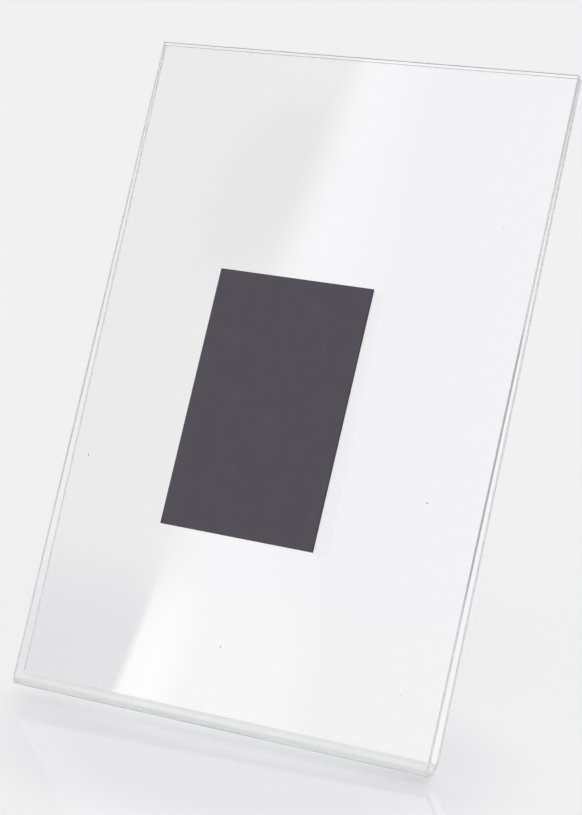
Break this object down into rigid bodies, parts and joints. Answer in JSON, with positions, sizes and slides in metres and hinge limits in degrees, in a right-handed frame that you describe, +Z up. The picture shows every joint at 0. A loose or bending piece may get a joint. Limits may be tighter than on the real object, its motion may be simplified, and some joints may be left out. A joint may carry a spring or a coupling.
{
  "type": "magnetic photo frame",
  "caption": "Clear plastic pocket, folded at the bottom and open at the top and sides, that holds a 102 x 152 mm print and hangs on steel by a flexible magnet sheet on its back.",
  "frame": {"origin": "centre of the magnet sheet's outer face, which lies against what the frame hangs on", "axes": "+Z up the frame from the fold to the mouth, +Y out of the back through the magnet, +X to the right seen from the front"},
  "size_m": [0.108, 0.0057, 0.155],
  "materials": {
    "clear_sheet": "polished",
    "magnet_rubber": "satin",
    "adhesive": "satin"
  },
  "bodies": {
    "pocket_back": {"back_leaf": "clear_sheet", "fold_back_half": "clear_sheet", "adhesive_film": "adhesive", "magnet_sheet": "magnet_rubber"},
    "pocket_front": {"fold_front_half": "clear_sheet", "front_leaf": "clear_sheet"}
  },
  "joints": [
    {"name": "front_leaf_flex", "type": "hinge", "parent": "pocket_back", "child": "pocket_front", "pos_m": [-0.0039, -0.00204, -0.0709], "axis": [1, 0, 0], "range_deg": [0, 4], "stiffness_Nm_per_rad": 0.75, "springref_deg": -1.49}
  ]
}
